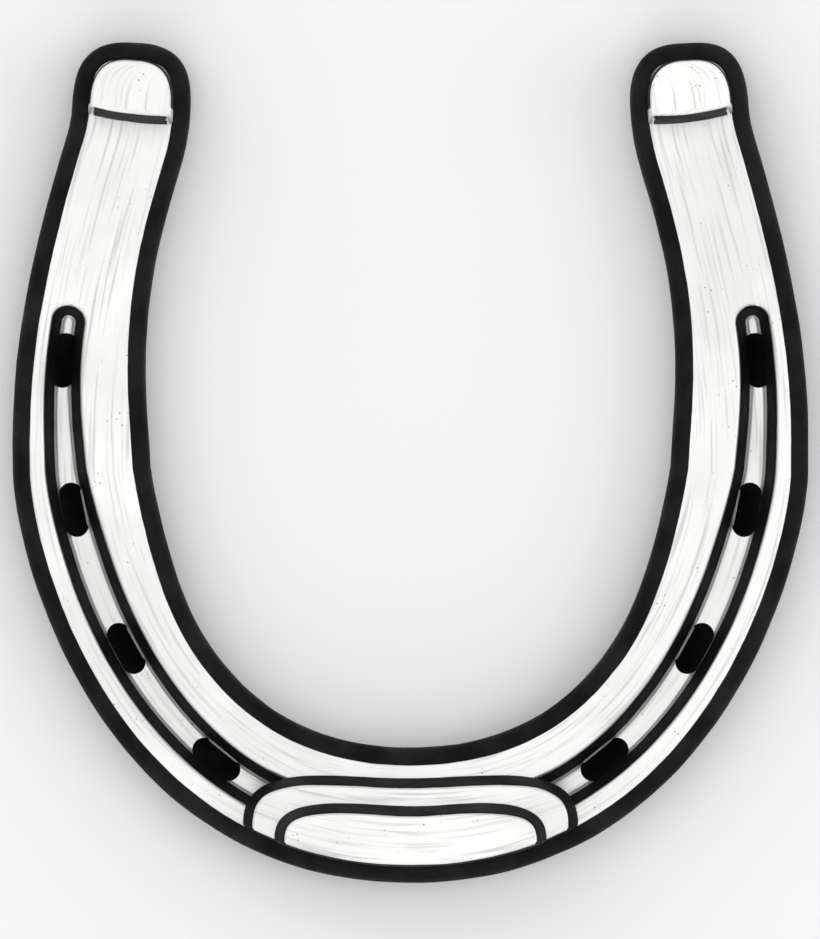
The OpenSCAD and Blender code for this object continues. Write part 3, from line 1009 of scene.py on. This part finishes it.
def pad(name, foot, head, low, high, columns=26, walls=7):
    """A block between two pairs of rails, with its top edge rounded and a groove at its foot."""
    height = high - low
    top, foot_edge = rounding(SOFT_EDGE, 5), rounding(FOOT_GROOVE, 3)[::-1]
    wall = np.linspace(SINK + foot_edge[-1, 0], height - SOFT_EDGE, walls)[1:]
    up = np.vstack([(0, foot_edge[0, 1]), foot_edge + (SINK, 0), np.stack([wall, 0 * wall], -1),
                    np.stack([height - top[:, 0], top[:, 1]], -1)[1:]])
    station, column, level, faces = block_skin(len(foot[0]), columns, len(up))
    share = (column / (columns - 1))[:, None]
    lift = (up[level, 0] / height)[:, None]
    narrow = np.linalg.norm(head[0] - head[1], axis=1)[station] / 3
    inset = np.minimum(up[level, 1], narrow)[:, None]
    sides = []
    for foot_rail, head_rail, foot_in, head_in in zip(foot, head, loop_inward(*foot), loop_inward(*head)):
        rail = foot_rail[station] * (1 - lift) + head_rail[station] * lift
        sides.append(rail + inset * (foot_in[station] * (1 - lift) + head_in[station] * lift))
    at = sides[0] * (1 - share) + sides[1] * share
    piece = make_mesh(name, np.c_[at[:, 0], at[:, 1] - mid_y, low + up[level, 0]] * MM, faces)
    on_top = level == len(up) - 1
    bright = np.where(up[level, 0] > height / 2, inset[:, 0] - GROUND_FROM, -1.0)
    bright[on_top] = distance_to_loop(at[on_top], np.vstack([head[0], head[1][::-1]])) - GROUND_FROM
    write(piece.data, "bright", "FLOAT", bright)
    write(piece.data, "ground", "FLOAT", on_top.astype(float))
    run = arc_lengths(foot[0])
    write(piece.data, "bar_place", "FLOAT_VECTOR",
          np.c_[run[station], np.linalg.norm(at - foot[0][station], axis=1), up[level, 0]] * MM)
    return piece


# %% Plate and grab
PLATE_BACK, PLATE_CORNER = 18.0, 13.0
GRAB_BACK, GRAB_CORNER = 13.5, 11.0
PLATE_TOP = plate_high.z / MM


def toe_pad(name, reach, back, corner, low, high, slot, seed):
    """A hammered toe pad, ready for a Boolean."""
    piece = pad(name, toe_rails(reach, back, corner, PAD_IN, 0),
                toe_rails(reach, back, corner, PAD_IN + PAD_BATTER, TOE_LEAN), low - SINK, high)
    hammer(piece, slot, seed)
    corner_values(piece.data)
    return piece


plate = toe_pad("toe_plate_forged", plate_high.x / MM, PLATE_BACK, PLATE_CORNER,
                BAR_THICKNESS, PLATE_TOP, "plate_steel", 2.0)
boolean(plate, joined("plate_holes", shank_holes(toe_shanks)), "DIFFERENCE")
grab = toe_pad("toe_grab_forged", grab_high.x / MM, GRAB_BACK, GRAB_CORNER,
               PLATE_TOP, grab_high.z / MM, "calk_steel", 3.0)
boolean(grab, joined("grab_shanks", shanks(toe_shanks, PLATE_TOP)), "UNION")
print("toe piece:", len(plate.data.polygons) + len(grab.data.polygons), "faces")

# %% [markdown]
# ## Step 7: the heel calks
#
# A calk is the same kind of pad, set lengthways on the heel. Its front wall crosses the
# branch a little askew, bows and leans back, and its two upright corners are filed bright.
# The left one is the same lattice with x turned round, which leaves every face inside out, so
# the faces are turned over too. A Mirror modifier would do both, but each calk is a piece of
# its own with hammer marks of its own.


# %% Calks
CALK_LEAN, CALK_SKEW, CALK_BOW = 1.2, 0.4, 0.4
CALK_CORNER = 0.7
DRESSED = 1.0                  # mm of each upright corner that is filed


def calk_rails(inset, lean):
    """From the middle of the bowed front wall round a corner, along the side, round the heel."""
    half, corner = HEEL_WEB / 2 - inset, CALK_CORNER
    front = calk_back - CALK_LENGTH + lean
    across = np.linspace(0.2, 1, 9)    # not from 0, where the two rails would meet
    quarter = np.linspace(0, math.pi / 2, 6)[1:]
    sweep = np.radians(np.linspace(10, 85, 21))
    rails_made = []
    for side in (1, -1):
        wall = np.outer(across * side * (half - corner), heel_u) + np.outer(
            front + side * across * CALK_SKEW - CALK_BOW * (1 - across ** 2), heel_v)
        bend = wall[-1] + corner * (
            np.outer(side * np.sin(quarter), heel_u) + np.outer(1 - np.cos(quarter), heel_v))
        tip = heel_curve(sweep if side > 0 else math.pi - sweep, inset)
        straight = bend[-1] + (tip[0] - bend[-1]) * np.linspace(0, 1, 12)[1:-1, None]
        rails_made.append(heel_middle + np.vstack([wall, bend, straight, tip]))
    return tuple(rails_made)


def dress_corners(mesh):
    """Files the two upright corners of a calk's front wall bright."""
    from_middle = (points_of(mesh)[:, :2] / MM + (0, mid_y)) - heel_middle
    across, back = abs(from_middle @ heel_u), from_middle @ heel_v
    corner = across - (HEEL_WEB / 2 - PAD_IN - DRESSED)
    in_front = back < calk_back - CALK_LENGTH + CALK_LEAN + DRESSED
    bright = read(mesh, "bright")
    bright[in_front] = np.maximum(bright, corner)[in_front]
    mesh.attributes["bright"].data.foreach_set("value", bright.astype(np.float32))


def calk(name, side, centre, seed):
    """A heel calk with its shank: side 1 is the right-hand one, -1 its mirror image."""
    piece = pad(name, calk_rails(PAD_IN, 0), calk_rails(PAD_IN + PAD_BATTER, CALK_LEAN),
                BAR_THICKNESS - SINK, calk_high.z / MM, columns=24, walls=12)
    dress_corners(piece.data)
    if side < 0:
        for vertex in piece.data.vertices:
            vertex.co.x *= -1
        piece.data.flip_normals()
    hammer(piece, "calk_steel", seed)
    corner_values(piece.data)
    boolean(piece, joined("calk_shank", shanks([centre], BAR_THICKNESS)), "UNION")
    return piece


calk_right = calk("heel_calk_right_forged", 1, calk_shanks[1], 4.0)
calk_left = calk("heel_calk_left_forged", -1, calk_shanks[0], 5.0)
print("calks:", len(calk_left.data.polygons), "and", len(calk_right.data.polygons), "faces")

# %% [markdown]
# ## Hand the pieces over to the frame
#
# Nothing on a horseshoe moves, so every piece rides on the one body. Each stands for the
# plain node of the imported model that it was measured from. The pieces could be joined into
# one, but apart they can be taken off, shown and weighed one by one.

# %% Ride, replace and measure
made = [(shoe, "shoe_body", "shoe_steel"), (plate, "toe_plate", "plate_steel"),
        (grab, "toe_grab", "calk_steel"), (calk_left, "heel_calk_left", "calk_steel"),
        (calk_right, "heel_calk_right", "calk_steel")]
for piece, node, slot in made:
    piece.data.materials.clear()
    piece.data.materials.append(steel[slot])
    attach(piece, "root")
    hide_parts(node)
    low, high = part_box(node)
    mine = points_of(piece.data)
    print(node, "low", np.round((mine.min(0) - low) / MM, 3), "high",
          np.round((mine.max(0) - high) / MM, 3),
          "triangles", sum(len(p.vertices) - 2 for p in piece.data.polygons))
